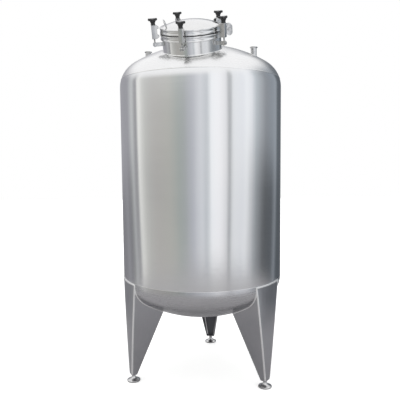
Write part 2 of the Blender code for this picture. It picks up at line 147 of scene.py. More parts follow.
def turnPiece(name, outline, steps):           # one point drawn along the outline, then spun about Z
    bpy.ops.object.select_all(action="DESELECT")
    bpy.ops.mesh.primitive_plane_add(size=0.01, location=(0, 0, 0))
    piece = bpy.context.object
    piece.name = name
    bpy.ops.object.mode_set(mode="EDIT")
    bpy.ops.mesh.select_mode(type="VERT")
    bpy.ops.mesh.merge(type="CENTER")
    bpy.ops.transform.translate(value=(outline[0][0], 0, outline[0][1]))
    for (radius, height), (nextRadius, nextHeight) in zip(outline, outline[1:]):
        step = (nextRadius - radius, 0, nextHeight - height)
        bpy.ops.mesh.extrude_vertices_move(TRANSFORM_OT_translate={"value": step})
    bpy.ops.mesh.select_all(action="SELECT")
    bpy.ops.mesh.spin(steps=steps, angle=2 * math.pi, center=(0, 0, 0), axis=(0, 0, 1))
    bpy.ops.mesh.select_all(action="SELECT")
    bpy.ops.mesh.remove_doubles(threshold=0.00002)
    bpy.ops.mesh.normals_make_consistent(inside=False)
    closeMesh()
    return piece


def arc(middle, radius, fromDegrees, toDegrees, steps):   # points (radius, height), 0 degrees outwards
    points = []
    for step in range(steps + 1):
        turn = math.radians(fromDegrees + (toDegrees - fromDegrees) * step / steps)
        points.append((middle[0] + radius * math.cos(turn), middle[1] + radius * math.sin(turn)))
    return points


def closed(outline):                           # the spin needs its first point again at the end
    return outline + outline[:1]


def rodBetween(name, radius, low, high, sides=24):        # an upright bar
    bpy.ops.mesh.primitive_cylinder_add(vertices=sides, radius=radius, depth=high - low,
                                        location=(0, 0, (low + high) / 2))
    rod = bpy.context.object
    rod.name = name
    applyPlace(rod)
    return rod


def crossPin(name, radius, reach, at, sides=24):          # a bar along Y through (x, z)
    bpy.ops.mesh.primitive_cylinder_add(vertices=sides, radius=radius, depth=2 * reach,
                                        location=(at[0], 0, at[1]), rotation=(math.pi / 2, 0, 0))
    pin = bpy.context.object
    pin.name = name
    applyPlace(pin)
    return pin


def cutPlate(name, corners, near, far):        # a plate with its corners in X and Z, from near to far along Y
    bpy.ops.mesh.primitive_circle_add(vertices=len(corners), radius=0.01, fill_type="NGON",
                                      location=(0, 0, 0))
    plate = bpy.context.object
    plate.name = name
    openMesh(plate, "VERT")
    shape = bmesh.from_edit_mesh(plate.data)
    for vertex, (x, z) in zip(shape.verts, corners):
        vertex.co = (x, near, z)
    bmesh.update_edit_mesh(plate.data)
    bpy.ops.mesh.select_all(action="SELECT")
    bpy.ops.mesh.extrude_region_move(TRANSFORM_OT_translate={"value": (0, far - near, 0)})
    bpy.ops.mesh.select_all(action="SELECT")
    bpy.ops.mesh.normals_make_consistent(inside=False)
    closeMesh()
    return plate


# Finishes

def linearColour(hexColour):                   # sRGB hex to the linear values that shaders take
    channels = [int(hexColour[start:start + 2], 16) / 255 for start in (1, 3, 5)]
    return (*[c / 12.92 if c <= 0.04045 else ((c + 0.055) / 1.055) ** 2.4 for c in channels], 1.0)


def addNode(tree, kind, settings=None, inputs=None):      # an input is a value or another node's output
    node = tree.nodes.new(kind)
    for name, value in (settings or {}).items():
        setattr(node, name, value)
    for name, value in (inputs or {}).items():
        if isinstance(value, bpy.types.NodeSocket):
            tree.links.new(value, node.inputs[name])
        else:
            node.inputs[name].default_value = value
    return node


def newFinish(name):
    material = bpy.data.materials.new(name)
    material.use_nodes = True
    return material, material.node_tree, material.node_tree.nodes["Principled BSDF"]


def polishedSteel(name, look, place=Matrix.Identity(4)):
    # AISI 304 stainless, belt-polished: hair lines run the way the belt went and stretch every
    # reflection across them, so that a lamp becomes a long streak along the turning axis
    material, tree, shader = newFinish(name)
    where = addNode(tree, "ShaderNodeTexCoord").outputs["Object"]
    local = addNode(tree, "ShaderNodeMapping", {"vector_type": "TEXTURE"},
                    {"Vector": where, "Location": place.translation, "Rotation": place.to_euler()}).outputs[0]
    parts = addNode(tree, "ShaderNodeSeparateXYZ", None, {0: local}).outputs
    if look["grain"] == "round":               # hair lines circle the axis, on walls and on domes
        flat = addNode(tree, "ShaderNodeCombineXYZ", None, {0: parts[0], 1: parts[1]}).outputs[0]
        reach = addNode(tree, "ShaderNodeVectorMath", {"operation": "LENGTH"}, {0: flat}).outputs["Value"]
        side = addNode(tree, "ShaderNodeVectorMath", {"operation": "NORMALIZE"}, {0: flat}).outputs[0]
        along = addNode(tree, "ShaderNodeMath", {"operation": "SUBTRACT"}, {0: parts[2], 1: reach}).outputs[0]
        ends = addNode(tree, "ShaderNodeSeparateXYZ", None, {0: side}).outputs
        stroke = addNode(tree, "ShaderNodeCombineXYZ", None, {0: ends[0], 1: ends[1], 2: along}).outputs[0]
        scale = (look["turns"], look["turns"], 1 / look["hairSpacing"])
    else:                                      # hair lines run up the sheet
        stroke = local
        scale = (1 / look["hairSpacing"], 1 / look["hairSpacing"], 1 / look["hairLength"])
    stretched = addNode(tree, "ShaderNodeVectorMath", {"operation": "MULTIPLY"}, {0: stroke, 1: scale}).outputs[0]
    hair = addNode(tree, "ShaderNodeTexNoise", None, {"Vector": stretched, "Scale": 1.0, "Detail": 4.0,
                                                      "Roughness": 0.6}).outputs[0]
    cloud = addNode(tree, "ShaderNodeTexNoise", None, {"Vector": local, "Scale": look["cloudScale"],
                                                       "Detail": 3.0}).outputs[0]
    tint = addNode(tree, "ShaderNodeMix", {"data_type": "RGBA"},
                   {0: cloud, 6: linearColour(look["dark"]), 7: linearColour(look["light"])}).outputs[2]
    streak = addNode(tree, "ShaderNodeMapRange", None, {0: hair, 1: 0.3, 2: 0.7, 3: 1 - look["streaks"],
                                                        4: 1.0}).outputs[0]
    colour = addNode(tree, "ShaderNodeVectorMath", {"operation": "SCALE"}, {0: tint, "Scale": streak}).outputs[0]
    tree.links.new(colour, shader.inputs["Base Color"])
    both = addNode(tree, "ShaderNodeMath", {"operation": "MULTIPLY_ADD"}, {0: cloud, 1: 0.5, 2: hair}).outputs[0]
    rough = addNode(tree, "ShaderNodeMapRange", None, {0: both, 1: 0.5, 2: 1.0, 3: look["roughness"][0],
                                                       4: look["roughness"][1]}).outputs[0]
    tree.links.new(rough, shader.inputs["Roughness"])
    if look["grain"] == "round":               # the rolls leave faint upright waves in the sheet
        broad = (look["waves"], look["waves"], look["waveDrift"])
        swell = addNode(tree, "ShaderNodeVectorMath", {"operation": "MULTIPLY"}, {0: stroke, 1: broad}).outputs[0]
        wave = addNode(tree, "ShaderNodeTexNoise", None, {"Vector": swell, "Scale": 1.0, "Detail": 2.0}).outputs[0]
        under = addNode(tree, "ShaderNodeBump", None, {"Height": wave, "Strength": 1.0,
                                                       "Distance": look["waveDepth"]}).outputs[0]
    relief = addNode(tree, "ShaderNodeBump", None, {"Height": hair, "Strength": look["relief"],
                                                    "Distance": look["hairDepth"]})
    if look["grain"] == "round":
        tree.links.new(under, relief.inputs["Normal"])
    tree.links.new(relief.outputs[0], shader.inputs["Normal"])
    axis = addNode(tree, "ShaderNodeVectorTransform", {"vector_type": "VECTOR", "convert_from": "OBJECT",
                                                       "convert_to": "WORLD"},
                   {0: place.to_3x3() @ Vector(look["spread"])}).outputs[0]
    tree.links.new(axis, shader.inputs["Tangent"])
    shader.inputs["Metallic"].default_value = 1.0
    shader.inputs["Anisotropic"].default_value = look["anisotropy"]
    return material


def mouldedPart(name, look):
    # black phenolic and rubber, both moulded: a fine spark-eroded grain breaks up a soft gloss
    material, tree, shader = newFinish(name)
    where = addNode(tree, "ShaderNodeTexCoord").outputs["Object"]
    grain = addNode(tree, "ShaderNodeTexNoise", None, {"Vector": where, "Scale": 1 / look["grainSize"],
                                                       "Detail": 3.0}).outputs[0]
    wear = addNode(tree, "ShaderNodeTexNoise", None, {"Vector": where, "Scale": 1 / look["wearSize"],
                                                      "Detail": 2.0}).outputs[0]
    colour = addNode(tree, "ShaderNodeMix", {"data_type": "RGBA"},
                     {0: wear, 6: linearColour(look["dark"]), 7: linearColour(look["light"])}).outputs[2]
    tree.links.new(colour, shader.inputs["Base Color"])
    rough = addNode(tree, "ShaderNodeMapRange", None, {0: wear, 1: 0.3, 2: 0.7, 3: look["roughness"][0],
                                                       4: look["roughness"][1]}).outputs[0]
    tree.links.new(rough, shader.inputs["Roughness"])
    relief = addNode(tree, "ShaderNodeBump", None, {"Height": grain, "Strength": look["relief"],
                                                    "Distance": 0.0002}).outputs[0]
    tree.links.new(relief, shader.inputs["Normal"])
    shader.inputs["IOR"].default_value = look["ior"]
    return material


# Where things are, read from the frame

sides = ("left", "front", "right", "back_right", "back_left")
legSides = ("left", "right", "back")
segmentNames = [f"shell_segment_{number}" for number in range(1, 9)]
segmentBoxes = [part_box(name) for name in segmentNames]
shellLeft = min(low.x for low, high in segmentBoxes)
shellFront = min(low.y for low, high in segmentBoxes)
shellBack = max(high.y for low, high in segmentBoxes)
shellRadius = (shellBack - shellFront) / 2
shellBottom = min(low.z for low, high in segmentBoxes)
shellTop = max(high.z for low, high in segmentBoxes)
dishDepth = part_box("top_dish")[1].z - shellTop
vessel = Matrix.Translation((shellLeft + shellRadius, shellFront + shellRadius, 0))

out = Vector(joints["left_knob_turn"]["axis"])            # the manway's own axis
pinHeight = 0.029                                         # of the clamps' pins above the dome
pinPlaces = [Vector(joints[f"{side}_clamp_swing"]["pos_m"]) for side in sides]
manwayMiddle = sum(pinPlaces, Vector()) / len(sides) - out * pinHeight
toRight = Vector((0, 0, 1)).cross(out).normalized()


def frameOf(xAxis, zAxis, middle):             # a right-handed frame from two of its axes
    place = Matrix((xAxis, zAxis.cross(xAxis), zAxis)).transposed().to_4x4()
    place.translation = middle
    return place


manway = frameOf(toRight, out, manwayMiddle)
clampPlaces = {}
for side, pin in zip(sides, pinPlaces):        # X outwards, Y along the pin, Z along the bolt
    clampPlaces[side] = frameOf(Vector(joints[f"{side}_clamp_swing"]["axis"]).cross(out), out, pin)
hingeAxis = Vector(joints["lid_hinge"]["axis"])
hingePlace = frameOf(hingeAxis.cross(out), out, Vector(joints["lid_hinge"]["pos_m"]))


# Finishes of the real parts

shellSteel = polishedSteel("brushed 304 shell sheet", {
    "grain": "round", "turns": 1.8,            # hair lines about 0.3 m long round the shell
    "hairSpacing": 0.0025,                     # real lines are 0.1 mm apart, drawn coarser so that they show
    "hairDepth": 0.00003, "relief": 0.15, "cloudScale": 2.2, "streaks": 0.02,
    "waves": 14.0, "waveDrift": 0.5, "waveDepth": 0.00035,
    "dark": "#D8D9DA", "light": "#E6E6E4", "roughness": (0.15, 0.21),
    "anisotropy": 0.85, "spread": (0, 0, 1)}, vessel)
dishSteel = polishedSteel("polished 304 dished head", {
    "grain": "round", "turns": 2.5, "hairSpacing": 0.003,
    "hairDepth": 0.00003, "relief": 0.15, "cloudScale": 3.0, "streaks": 0.02,
    "waves": 8.0, "waveDrift": 3.0, "waveDepth": 0.0003,
    "dark": "#DADADA", "light": "#EAEAE8", "roughness": (0.22, 0.32),
    "anisotropy": 0.3, "spread": (0, 0, 1)}, vessel)
# darker than the top head: a satin finish, and painted shade of the lower head under the tank
lowerSteel = polishedSteel("satin 304 lower head", {
    "grain": "round", "turns": 2.5, "hairSpacing": 0.003,
    "hairDepth": 0.00003, "relief": 0.15, "cloudScale": 3.0, "streaks": 0.03,
    "waves": 8.0, "waveDrift": 3.0, "waveDepth": 0.0003,
    "dark": "#BEBEC0", "light": "#CCCCCC", "roughness": (0.24, 0.32),
    "anisotropy": 0.2, "spread": (0, 0, 1)}, vessel)
manwaySteel = polishedSteel("turned 304 manway", {
    "grain": "round", "turns": 3.0, "hairSpacing": 0.002,
    "hairDepth": 0.00002, "relief": 0.15, "cloudScale": 9.0, "streaks": 0.03,
    "waves": 9.0, "waveDrift": 3.0, "waveDepth": 0.00015,
    "dark": "#D0D0CF", "light": "#E4E4E2", "roughness": (0.13, 0.20),
    "anisotropy": 0.6, "spread": (0, 0, 1)}, manway)
# darker than the shell: partly the duller 2B mill finish, partly painted shade of the legs below the tank
legSteel = polishedSteel("folded 304 sheet, 2B mill finish", {
    "grain": "straight", "hairSpacing": 0.006, "hairLength": 0.25,
    "hairDepth": 0.00004, "relief": 0.2, "cloudScale": 4.0, "streaks": 0.08,
    "dark": "#A9AAAD", "light": "#BEBEC0", "roughness": (0.34, 0.44),
    "anisotropy": 0.3, "spread": (1, 0, 0)})
# the legs' channel insides: an unpolished pickled sheet, its dark grey colour painted shade of the recess under the
# tank
dullSteel = polishedSteel("304 sheet, hot rolled and pickled", {
    "grain": "straight", "hairSpacing": 0.006, "hairLength": 0.02,
    "hairDepth": 0.00006, "relief": 0.2, "cloudScale": 9.0, "streaks": 0.06,
    "dark": "#66676A", "light": "#767678", "roughness": (0.40, 0.55),
    "anisotropy": 0.0, "spread": (1, 0, 0)})
fittingSteel = polishedSteel("tumbled 304 castings", {
    "grain": "straight", "hairSpacing": 0.002, "hairLength": 0.003,
    "hairDepth": 0.00006, "relief": 0.25, "cloudScale": 40.0, "streaks": 0.10,
    "dark": "#B9B9B9", "light": "#DCDCDA", "roughness": (0.16, 0.30),
    "anisotropy": 0.0, "spread": (1, 0, 0)})
# lighter than the sheets: a ground weld, and a painted highlight along the seams and fillets
weldSteel = polishedSteel("ground weld bead", {
    "grain": "straight", "hairSpacing": 0.003, "hairLength": 0.003,
    "hairDepth": 0.0001, "relief": 0.3, "cloudScale": 60.0, "streaks": 0.08,
    "dark": "#DCDCDA", "light": "#F4F4F2", "roughness": (0.20, 0.30),
    "anisotropy": 0.0, "spread": (1, 0, 0)})
# near white: welds dressed with a flap disc, and a painted highlight along the legs' top welds and folds
satinSteel = polishedSteel("weld dressed with a flap disc", {
    "grain": "straight", "hairSpacing": 0.004, "hairLength": 0.004,
    "hairDepth": 0.00008, "relief": 0.3, "cloudScale": 40.0, "streaks": 0.06,
    "dark": "#F0F0EE", "light": "#FCFCFA", "roughness": (0.42, 0.52),
    "anisotropy": 0.0, "spread": (1, 0, 0)})
knobPhenolic = mouldedPart("black moulded phenolic", {
    "dark": "#0A0A0B", "light": "#131314", "roughness": (0.22, 0.36), "relief": 0.15,
    "grainSize": 0.0012, "wearSize": 0.015, "ior": 1.6})
gasketRubber = mouldedPart("black silicone rubber", {
    "dark": "#151516", "light": "#202021", "roughness": (0.55, 0.70), "relief": 0.2,
    "grainSize": 0.0012, "wearSize": 0.02, "ior": 1.43})
print("finishes made")


# The vessel: a rolled shell between two dished heads

vesselShape = {
    "steps": 160,                              # round the vessel
    "wall": 0.003,
    "knuckle": 0.180,                          # the heads' corner radius
    "seamTurn": 17.2,                          # degrees up the top knuckle where the girth weld runs
    "weldHalfWidth": 0.0032,
    "weldRise": 0.0012,
    "seamDip": 0.0014, "seamWidth": 0.0030,    # the sheets are dressed down beside the lower girth weld
}
crownRadius = ((shellRadius - vesselShape["knuckle"]) ** 2 + dishDepth ** 2 - vesselShape["knuckle"] ** 2) / (
    2 * (dishDepth - vesselShape["knuckle"]))
crownDrop = dishDepth - crownRadius            # the crown's centre, from the head's rim
crownTurn = math.degrees(math.atan2(-crownDrop, shellRadius - vesselShape["knuckle"]))


def headOutline(offset, fromTurn=0.0):         # rim to pole, moved out by offset
    knuckleMiddle = (shellRadius - vesselShape["knuckle"], 0)
    knuckle = arc(knuckleMiddle, vesselShape["knuckle"] + offset, fromTurn, crownTurn, 14)
    crown = arc((0, crownDrop), crownRadius + offset, crownTurn, 90, 22)
    return knuckle[:-1] + crown[:-1] + [(0.0, crownDrop + crownRadius + offset)]


def weldRing(name, middle, lean, steps, size=1.0):        # a low bead round the axis; lean is its normal's angle
    wide = vesselShape["weldHalfWidth"] * size
    high = vesselShape["weldRise"] * size
    ring = []
    for step in range(10):
        turn = 2 * math.pi * step / 10
        across, up = wide * math.cos(turn), high * math.sin(turn)
        tilt = math.radians(lean)
        ring.append((middle[0] + up * math.cos(tilt) - across * math.sin(tilt),
                     middle[1] + up * math.sin(tilt) + across * math.cos(tilt)))
    return turnPiece(name, closed(ring), steps)


def makeVessel():
    wall = vesselShape["wall"]
    steps = vesselShape["steps"]
    seam = vesselShape["seamTurn"]
    knuckleMiddle = (shellRadius - vesselShape["knuckle"], shellTop)
    dip, width = vesselShape["seamDip"], vesselShape["seamWidth"]
    outer = [(shellRadius - dip, shellBottom), (shellRadius, shellBottom + width)]
    outer += arc(knuckleMiddle, vesselShape["knuckle"], 0, seam - 0.1, 6)
    inner = arc(knuckleMiddle, vesselShape["knuckle"] - wall, seam - 0.1, 0, 6) + [(shellRadius - wall, shellBottom)]
    shell = turnPiece("vesselShell", closed(outer + inner), steps)
    settle(shell, vessel, "tank", shellSteel, segmentNames)

    def headPiece(name, rim, direction, fromTurn):
        points = headOutline(0, fromTurn) + headOutline(-wall, fromTurn)[::-1]
        return turnPiece(name, closed([(r, rim + direction * z) for r, z in points]), steps)

    top = headPiece("topHead", shellTop, 1, seam)
    bore = rodBetween("manwayBore", manwayShape["neckRadius"] + 0.0003, -0.2, 0.2, manwayShape["steps"])
    bore.matrix_world = vessel.inverted() @ manway
    cutWith(top, bore)
    for side in ("right", "left"):
        low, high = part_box(f"{side}_ferrule")
        hole = rodBetween("ferruleBore", ferruleShape["tube"] + 0.0003, shellTop, shellTop + 0.4, 32)
        hole.matrix_world = vessel.inverted() @ Matrix.Translation(((low.x + high.x) / 2, (low.y + high.y) / 2, 0))
        cutWith(top, hole)
    settle(top, vessel, "tank", dishSteel, ["top_dish"])
    bottom = headPiece("bottomHead", shellBottom, -1, 0)
    drain = rodBetween("drainBore", ferruleShape["tube"] + 0.0003, shellBottom - 0.4, shellBottom, 32)
    cutWith(bottom, drain)
    settle(bottom, vessel, "tank", lowerSteel, ["bottom_dish"])
    seamTurn = math.radians(seam)
    seamPlace = (knuckleMiddle[0] + vesselShape["knuckle"] * math.cos(seamTurn),
                 shellTop + vesselShape["knuckle"] * math.sin(seamTurn))
    settle(weldRing("topGirthWeld", seamPlace, seam, steps), vessel, "tank", weldSteel)
    low = weldRing("bottomGirthWeld", (shellRadius - dip, shellBottom), 0, steps)
    settle(low, vessel, "tank", weldSteel)


# The manway: neck, gasket and lid, all turned about its own axis

manwayShape = {
    "steps": 128,
    "neckRadius": 0.181, "neckWall": 0.003, "neckInside": -0.034,
    "collarRadius": 0.1905, "collarBottom": 0.054, "collarTop": 0.088,
    "gasketBore": 0.169, "gasketRadius": 0.189, "gasketThickness": 0.005, "gap": 0.0003,
    "lidHeight": 0.033, "lidBore": 0.1685, "domeRadius": 0.176, "domeRise": 0.035, "lidSheet": 0.003,
    "roll": 0.0035, "sealRoll": 0.0015,        # radii of the rolled edges that catch the light
    "waist": 0.0022,
    "cove": 0.006,                             # the ground fillet between the neck and the dome
}
ferruleShape = {
    "steps": 48, "tube": 0.019, "wall": 0.0016, "flange": 0.02525, "flangeThickness": 0.0064,
    "length": 0.050, "outletLength": 0.036, "inside": 0.030, "outletInside": 0.005, "groove": 0.0012,
}


def lidDome(radius, base, rise, steps=18):     # from the dome's edge to its pole
    ball = (radius ** 2 + rise ** 2) / (2 * rise)
    edge = math.degrees(math.asin(radius / ball))
    points = arc((0, base + rise - ball), ball, 90 - edge, 90, steps)
    return points[:-1] + [(0.0, base + rise)]


def rolledBand(radius, low, high, lowRoll, highRoll, dip):     # a flange's side: rolled edges and a waist
    lower = arc((radius - lowRoll, low + lowRoll), lowRoll, -90, 0, 4)
    upper = arc((radius - highRoll, high - highRoll), highRoll, 0, 90, 4)
    lip = 0.007
    waist = [(radius, low + lip), (radius - dip * 0.4, low + lip + 0.001), (radius - dip, low + lip + 0.003),
             (radius - dip, high - lip - 0.003), (radius - dip * 0.4, high - lip - 0.001), (radius, high - lip)]
    return lower + waist + upper


def makeManway():
    size = manwayShape
    steps = size["steps"]
    bore = size["neckRadius"] - size["neckWall"]
    neck = [(bore, size["neckInside"]), (size["neckRadius"], size["neckInside"])]
    neck += [(size["neckRadius"], size["collarBottom"])]
    neck += rolledBand(size["collarRadius"], size["collarBottom"], size["collarTop"], size["roll"], size["sealRoll"],
                       size["waist"])
    neck += [(bore + 0.002, size["collarTop"]), (bore, size["collarTop"] - 0.002)]
    settle(turnPiece("manwayNeck", closed(neck), steps), manway, "tank", manwaySteel, ["manway_neck"])
    # the fillet touches the neck and the dome
    cove = size["cove"]
    middle = (size["neckRadius"] + cove, math.sqrt((crownRadius + cove) ** 2 - (size["neckRadius"] + cove) ** 2) - crownRadius)
    touch = 180 + math.degrees(math.atan2(middle[1] + crownRadius, middle[0]))
    hollow = arc(middle, cove, 180, touch, 7)
    foot = [(hollow[-1][0], hollow[-1][1] - 0.002), (size["neckRadius"] + 0.0004, hollow[-1][1] - 0.002)]
    settle(turnPiece("neckWeld", closed(hollow + foot), steps), manway, "tank", weldSteel)
    low = size["collarTop"] + size["gap"]
    high = low + size["gasketThickness"]
    middle = (low + high) / 2
    seal = [(size["gasketBore"], low), (size["gasketRadius"] - 0.001, low), (size["gasketRadius"], middle - 0.0015)]
    seal += [(size["gasketRadius"] + 0.0004, middle), (size["gasketRadius"], middle + 0.0015)]
    seal += [(size["gasketRadius"] - 0.001, high), (size["gasketBore"], high)]
    settle(turnPiece("lidGasket", closed(seal), steps), manway, "tank", gasketRubber, ["manway_gasket"])
    low = high + size["gap"]
    high = low + size["lidHeight"]
    lid = [(size["lidBore"], low)]
    lid += rolledBand(size["collarRadius"], low, high, size["sealRoll"], size["roll"], size["waist"])
    lid += [(size["domeRadius"] + 0.004, high)]
    lid += lidDome(size["domeRadius"], high + 0.0004, size["domeRise"] - 0.0004)
    lid += lidDome(size["lidBore"], high - size["lidSheet"], size["domeRise"])[::-1]
    settle(turnPiece("manwayLid", closed(lid), steps), manway, "lid", manwaySteel, ["manway_lid"])


makeManway()
makeVessel()
print("vessel and manway made")


# Ferrules: a clamp flange on a short tube, welded into the head

def makeFerrule(name, node, length, inside, place):
    size = ferruleShape
    bore = size["tube"] - size["wall"]
    flangeLow = length - size["flangeThickness"]
    groove = (size["tube"] + size["flange"]) / 2
    outline = [(bore, -inside), (size["tube"], -inside), (size["tube"], flangeLow - 0.001)]
    outline += [(size["tube"] + 0.001, flangeLow), (size["flange"] - 0.0004, flangeLow + 0.0025)]
    outline += [(size["flange"], flangeLow + 0.0032), (size["flange"], length - 0.0006)]
    outline += [(size["flange"] - 0.0006, length), (groove + size["groove"], length)]
    outline += [(groove + 0.0008, length - size["groove"]), (groove - 0.0008, length - size["groove"])]
    outline += [(groove - size["groove"], length), (bore + 0.0004, length), (bore, length - 0.0004)]
    ferrule = turnPiece(name, closed(outline), size["steps"])
    return settle(ferrule, place, "tank", fittingSteel, [node])


def makeFerrules():
    size = ferruleShape
    for side in ("right", "left"):
        low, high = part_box(f"{side}_ferrule")
        middle = Vector(((low.x + high.x) / 2, (low.y + high.y) / 2, high.z - size["length"]))
        makeFerrule(f"{side}Ferrule", f"{side}_ferrule", size["length"], size["inside"], Matrix.Translation(middle))
        # the weld lies on the sloping head
        radial = middle - vessel.translation
        slope = Vector((radial.x, radial.y, middle.z - shellTop - crownDrop)).normalized()
        bpy.ops.object.select_all(action="DESELECT")
        bpy.ops.mesh.primitive_torus_add(major_radius=size["tube"] + 0.0012, minor_radius=0.0022,
                                         major_segments=40, minor_segments=10)
        ring = bpy.context.object
        ring.name = f"{side}FerruleWeld"
        openMesh(ring)
        bpy.ops.mesh.select_all(action="SELECT")
        stretch = 1 / slope.z                  # a leaning cut through a round tube is an oval
        bpy.ops.transform.resize(value=(stretch, 1, 1), center_override=(0, 0, 0))
        closeMesh()
        level = Vector((0, 0, 1)).cross(slope).normalized()
        settle(ring, frameOf(level.cross(slope), slope, middle), "tank", weldSteel)
    low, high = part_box("bottom_outlet")
    upsideDown = Matrix.Rotation(math.pi, 4, "X")
    outletPlace = Matrix.Translation((vessel.translation.x, vessel.translation.y, low.z + size["outletLength"]))
    makeFerrule("bottomOutlet", "bottom_outlet", size["outletLength"], size["outletInside"], outletPlace @ upsideDown)


makeFerrules()
print("ferrules made")


# Legs: sheet folded into a tapered channel round the corner of the lower head

legShape = {
    "sheet": 0.004, "top": 0.698, "bottom": 0.050,
    "topHalfWidth": 0.137, "bottomHalfWidth": 0.030,
    "topRadius": 0.5515, "bottomRadius": 0.537,       # of the rounded front, from the vessel's axis
    "topReach": 0.245, "bottomReach": 0.499,          # of the flanks' inner edges
    "fold": 0.010, "columns": 7, "rows": 14, "flankSteps": 3,
    "weld": 0.0065,                                   # radius of the bead that joins the leg to the vessel
    "crease": 0.0065, "creaseSink": 0.0050,           # radius and depth of the ground beads down its folds, which carry a painted highlight
}
legTurns = {}
for side in legSides:                          # each leg stands over its foot
    low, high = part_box(f"{side}_foot")
    legTurns[side] = math.atan2((low.x + high.x) / 2 - vessel.translation.x,
                                vessel.translation.y - (low.y + high.y) / 2)


def legAt(share):                              # half width, front radius and reach at a share of the height
    size = legShape
    return [size[f"bottom{what}"] + share * (size[f"top{what}"] - size[f"bottom{what}"])
            for what in ("HalfWidth", "Radius", "Reach")]


def makeLegs():
    size = legShape
    tall = size["top"] - size["bottom"]

    def onCrease(p):                           # where the front turns into a flank
        half, radius, reach = legAt((p.z - size["bottom"]) / tall)
        return abs(abs(p.x) - half) < 1e-4 and abs(p.y + math.sqrt(radius ** 2 - half ** 2)) < 1e-4

    # a flat grid, rolled to the vessel's radius and tapered
    bpy.ops.object.select_all(action="DESELECT")
    bpy.ops.mesh.primitive_grid_add(x_subdivisions=size["columns"], y_subdivisions=size["rows"], size=2)
    leg = bpy.context.object
    leg.name = "legSheet"
    openMesh(leg, "VERT")
    shape = bmesh.from_edit_mesh(leg.data)
    for vertex in shape.verts:
        share = (vertex.co.y + 1) / 2
        half, radius, reach = legAt(share)
        across = vertex.co.x * half
        vertex.co = (across, -math.sqrt(radius ** 2 - across ** 2), size["bottom"] + share * tall)
    bmesh.update_edit_mesh(leg.data)
    for sign in (-1, 1):                       # the flanks are folded back from its side edges
        pickEdges(leg, lambda a, b: sign * a.x > 0 and sign * b.x > 0 and onCrease(a) and onCrease(b))
        for step in range(size["flankSteps"]):
            bpy.ops.mesh.extrude_edges_move(TRANSFORM_OT_translate={"value": (0, 0.1, 0)})
    shape = bmesh.from_edit_mesh(leg.data)
    for vertex in shape.verts:                 # and cut to the leg's taper
        half, radius, reach = legAt((vertex.co.z - size["bottom"]) / tall)
        start = -math.sqrt(radius ** 2 - half ** 2)
        beyond = vertex.co.y - start
        if abs(abs(vertex.co.x) - half) < 1e-5 and beyond > 0.05:
            vertex.co.y = start + beyond / (0.1 * size["flankSteps"]) * (-reach - start)
    bmesh.update_edit_mesh(leg.data)
    pickEdges(leg, lambda a, b: onCrease(a) and onCrease(b) and a.x * b.x > 0)
    bpy.ops.mesh.bevel(offset=size["fold"], segments=5, affect="EDGES", clamp_overlap=True)
    closeMesh()
    useModifier(leg, "SOLIDIFY", thickness=size["sheet"], offset=-1.0, use_even_offset=True)
    head = [(r, shellBottom - z) for r, z in headOutline(0.0003)]
    block = turnPiece("headBlock", [(0, shellBottom + 0.1), (shellRadius + 0.0003, shellBottom + 0.1)] + head, 96)
    cutWith(leg, block)
    softenEdges(leg, 0.0006, 1, 50)
    # the sole that the foot's screw goes into
    bpy.ops.mesh.primitive_cube_add(size=1, location=(0, -(size["bottomRadius"] + size["bottomReach"]) / 2 + 0.001,
                                                      size["bottom"] + 0.004), scale=(0.056, 0.034, 0.006))
    sole = bpy.context.object
    applyPlace(sole)
    softenEdges(sole, 0.001, 2)
    leg = joinPieces("legSheet", [leg, sole])
    weld = makeLegWeld()
    crease = makeCreases()
    foot = makeFoot()
    for side in legSides:
        turn = vessel @ Matrix.Rotation(legTurns[side], 4, "Z")
        sheet = copyPiece(leg, f"{side}Leg")
        settle(sheet, turn, "tank", legSteel, [f"{side}_leg"])
        inwards = turn.to_3x3() @ Vector((0, 1, 0))
        sheet.data.materials.append(dullSteel)     # the channel's inside is unpolished, and its dark grey colour is painted shade
        sheet.active_material_index = 1
        openMesh(sheet)
        pickFaces(sheet, lambda middle, normal: normal.dot(inwards) > 0.6)
        bpy.ops.object.material_slot_assign()
        closeMesh()
        settle(copyPiece(weld, f"{side}LegWeld"), turn, "tank", satinSteel)
        settle(copyPiece(crease, f"{side}LegCreases"), turn, "tank", satinSteel)
        low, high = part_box(f"{side}_foot")
        stand = Matrix.Translation(((low.x + high.x) / 2, (low.y + high.y) / 2, 0))
        settle(copyPiece(foot, f"{side}Foot"), stand, "tank", fittingSteel, [f"{side}_foot"])
    for piece in (leg, weld, crease, foot):
        bpy.data.objects.remove(piece)


def makeLegWeld():                             # one bead up a flank, along the top edge and down the other
    size = legShape
    tall = size["top"] - size["bottom"]
    head = [(r, shellBottom - z) for r, z in headOutline(-0.0012)]
    path = []
    for r, z in head:
        half, radius, reach = legAt((z - size["bottom"]) / tall)
        if z < size["top"] and r > half and math.sqrt(r * r - half * half) > reach:
            path.append(Vector((half, -math.sqrt(r * r - half * half), z)))
    half = size["topHalfWidth"]
    across = [half * (1 - step / 8) for step in range(17)]
    top = [Vector((x, -math.sqrt(size["topRadius"] ** 2 - x * x) + 0.003, size["top"])) for x in across]
    route = path[::-1] + top + [Vector((-p.x, p.y, p.z)) for p in path]
    return beadAlong("legWeld", [route], size["weld"])


def makeCreases():                             # ground beads down the folds from sole to top, whitened as a painted highlight of the rounded folds
    size = legShape
    routes = []
    for sign in (-1, 1):
        route = []
        for step in range(13):
            share = 0.01 + 0.97 * step / 12
            half, radius, reach = legAt(share)
            inset = size["creaseSink"]
            y = -math.sqrt(radius ** 2 - half ** 2) + inset
            route.append(Vector((sign * (half - inset), y, size["bottom"] + share * (size["top"] - size["bottom"]))))
        routes.append(route)
    return beadAlong("legCreases", routes, size["crease"])


